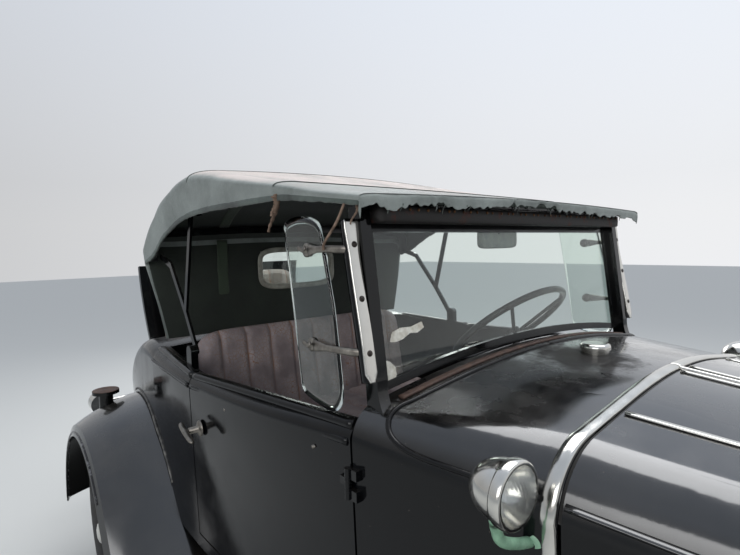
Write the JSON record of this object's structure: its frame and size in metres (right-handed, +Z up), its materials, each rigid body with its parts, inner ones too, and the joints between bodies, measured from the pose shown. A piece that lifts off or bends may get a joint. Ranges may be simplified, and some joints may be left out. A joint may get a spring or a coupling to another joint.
{
  "type": "open two-seat roadster car of about 1930 with folding cloth top and rumble seat",
  "caption": "Open two-seat roadster with wire wheels, crowned fenders, a centre-hinged hood, a folding cloth top on irons and a rumble seat under a tail lid.",
  "frame": {"origin": "on the ground, at the middle of the car's length and width", "axes": "+X towards the front of the car, +Y to the driver's left, +Z up"},
  "size_m": [4.1898, 1.702, 1.722],
  "materials": {
    "body_paint": "aged gloss enamel",
    "fender_paint": "aged gloss enamel",
    "chassis_paint": "satin black",
    "post_paint": "gloss black",
    "bow_paint": "satin black",
    "dash_paint": "satin",
    "core_paint": "flat black",
    "engine_iron": "painted casting",
    "exhaust_steel": "rusty",
    "bright_nickel": "aged nickel plate",
    "clear_glass": "clear",
    "top_cloth": "coated cotton, faded",
    "seat_leather": "cracked leatherette",
    "wheel_grip": "hard rubber",
    "floor_wood": "worn boards",
    "tread_rubber": "ribbed",
    "wheel_paint": "gloss",
    "tyre_rubber": "matt"
  },
  "bodies": {
    "chassis": {"body_tub": "body_paint", "bumper_front": "bright_nickel", "bumper_rear": "bright_nickel", "cowl": "body_paint", "cowl_band": "bright_nickel", "cowl_lamps": "bright_nickel", "dashboard": "dash_paint", "engine_block": "engine_iron", "exhaust": "exhaust_steel", "fenders_front": "fender_paint", "fenders_rear": "fender_paint", "floor": "floor_wood", "frame": "chassis_paint", "front_axle": "chassis_paint", "fuel_cap": "bright_nickel", "headlamps": "bright_nickel", "radiator_core": "core_paint", "radiator_shell": "bright_nickel", "rear_axle": "chassis_paint", "rear_window": "clear_glass", "rumble_cushion": "seat_leather", "running_boards": "fender_paint", "seat_back": "seat_leather", "seat_cushion": "seat_leather", "spare_carrier": "chassis_paint", "spare_tyre": "tyre_rubber", "spare_wheel": "wheel_paint", "springs": "chassis_paint", "steering_column": "chassis_paint", "step_plates": "tread_rubber", "tail_lamps": "bright_nickel", "top_bows": "bow_paint", "top_cover": "top_cloth", "wind_wings": "clear_glass", "windshield_frame": "bright_nickel", "windshield_glass": "clear_glass", "windshield_posts": "post_paint"},
    "knuckle_left": {"knuckle_left": "chassis_paint"},
    "knuckle_right": {"knuckle_right": "chassis_paint"},
    "tie_rod": {"tie_rod": "chassis_paint"},
    "drag_link": {"drag_link": "chassis_paint"},
    "pitman_arm": {"pitman_arm": "chassis_paint"},
    "steering_wheel": {"steering_wheel": "wheel_grip"},
    "door_left": {"door_left": "body_paint"},
    "door_right": {"door_right": "body_paint"},
    "hood_left": {"hood_left": "body_paint"},
    "hood_right": {"hood_right": "body_paint"},
    "rumble_lid": {"rumble_lid": "body_paint", "rumble_back": "seat_leather"},
    "wheel_front_left": {"wheel_front_left": "wheel_paint", "tyre_front_left": "tyre_rubber"},
    "wheel_front_right": {"wheel_front_right": "wheel_paint", "tyre_front_right": "tyre_rubber"},
    "wheel_rear_left": {"wheel_rear_left": "wheel_paint", "tyre_rear_left": "tyre_rubber"},
    "wheel_rear_right": {"wheel_rear_right": "wheel_paint", "tyre_rear_right": "tyre_rubber"}
  },
  "joints": [
    {"name": "steer_left", "type": "hinge", "parent": "chassis", "child": "knuckle_left", "pos_m": [1.535, 0.621, 0.362], "axis": [0, 0, 1], "range_deg": [-27, 27]},
    {"name": "steer_right", "type": "hinge", "parent": "chassis", "child": "knuckle_right", "pos_m": [1.535, -0.621, 0.362], "axis": [0, 0, 1], "range_deg": [-27, 27]},
    {"name": "tie_rod_joint", "type": "hinge", "parent": "knuckle_left", "child": "tie_rod", "pos_m": [1.385, 0.621, 0.3017], "axis": [0, 0, 1], "range_deg": [-27, 27]},
    {"name": "drag_link_joint", "type": "hinge", "parent": "knuckle_left", "child": "drag_link", "pos_m": [1.535, 0.471, 0.4223], "axis": [0, 0, 1], "range_deg": [-27, 27]},
    {"name": "pitman_turn", "type": "hinge", "parent": "chassis", "child": "pitman_arm", "pos_m": [0.595, 0.4083, 0.534], "axis": [0, 1, 0], "range_deg": [-38, 38]},
    {"name": "steering_wheel_turn", "type": "hinge", "parent": "chassis", "child": "steering_wheel", "pos_m": [0.005, 0.33, 1.172], "axis": [-0.6428, 0, 0.766], "range_deg": [-300, 300]},
    {"name": "door_left_hinge", "type": "hinge", "parent": "chassis", "child": "door_left", "pos_m": [0.2845, 0.596, 0.87], "axis": [0, 0, -1], "range_deg": [0, 70]},
    {"name": "door_right_hinge", "type": "hinge", "parent": "chassis", "child": "door_right", "pos_m": [0.2845, -0.596, 0.87], "axis": [0, 0, 1], "range_deg": [0, 70]},
    {"name": "hood_left_hinge", "type": "hinge", "parent": "chassis", "child": "hood_left", "pos_m": [0.655, 0, 1.196], "axis": [0.9946, 0, -0.1042], "range_deg": [0, 55]},
    {"name": "hood_right_hinge", "type": "hinge", "parent": "chassis", "child": "hood_right", "pos_m": [0.655, 0, 1.196], "axis": [-0.9946, 0, 0.1042], "range_deg": [0, 55]},
    {"name": "rumble_lid_hinge", "type": "hinge", "parent": "chassis", "child": "rumble_lid", "pos_m": [-1.56455, 0, 0.848], "axis": [0, 1, 0], "range_deg": [0, 72]},
    {"name": "spin_front_left", "type": "hinge", "parent": "knuckle_left", "child": "wheel_front_left", "pos_m": [1.535, 0.711, 0.362], "axis": [0, 1, 0], "continuous": true},
    {"name": "spin_front_right", "type": "hinge", "parent": "knuckle_right", "child": "wheel_front_right", "pos_m": [1.535, -0.711, 0.362], "axis": [0, 1, 0], "continuous": true},
    {"name": "spin_rear_left", "type": "hinge", "parent": "chassis", "child": "wheel_rear_left", "pos_m": [-1.094, 0.711, 0.362], "axis": [0, 1, 0], "continuous": true},
    {"name": "spin_rear_right", "type": "hinge", "parent": "chassis", "child": "wheel_rear_right", "pos_m": [-1.094, -0.711, 0.362], "axis": [0, 1, 0], "continuous": true}
  ],
  "couplings": [
    {"joint": "steer_right", "follows": "steer_left", "ratio": 1},
    {"joint": "tie_rod_joint", "follows": "steer_left", "ratio": -1},
    {"joint": "drag_link_joint", "follows": "steer_left", "ratio": -1},
    {"joint": "pitman_turn", "follows": "steer_left", "ratio": -1.37},
    {"joint": "steering_wheel_turn", "follows": "steer_left", "ratio": 11}
  ]
}
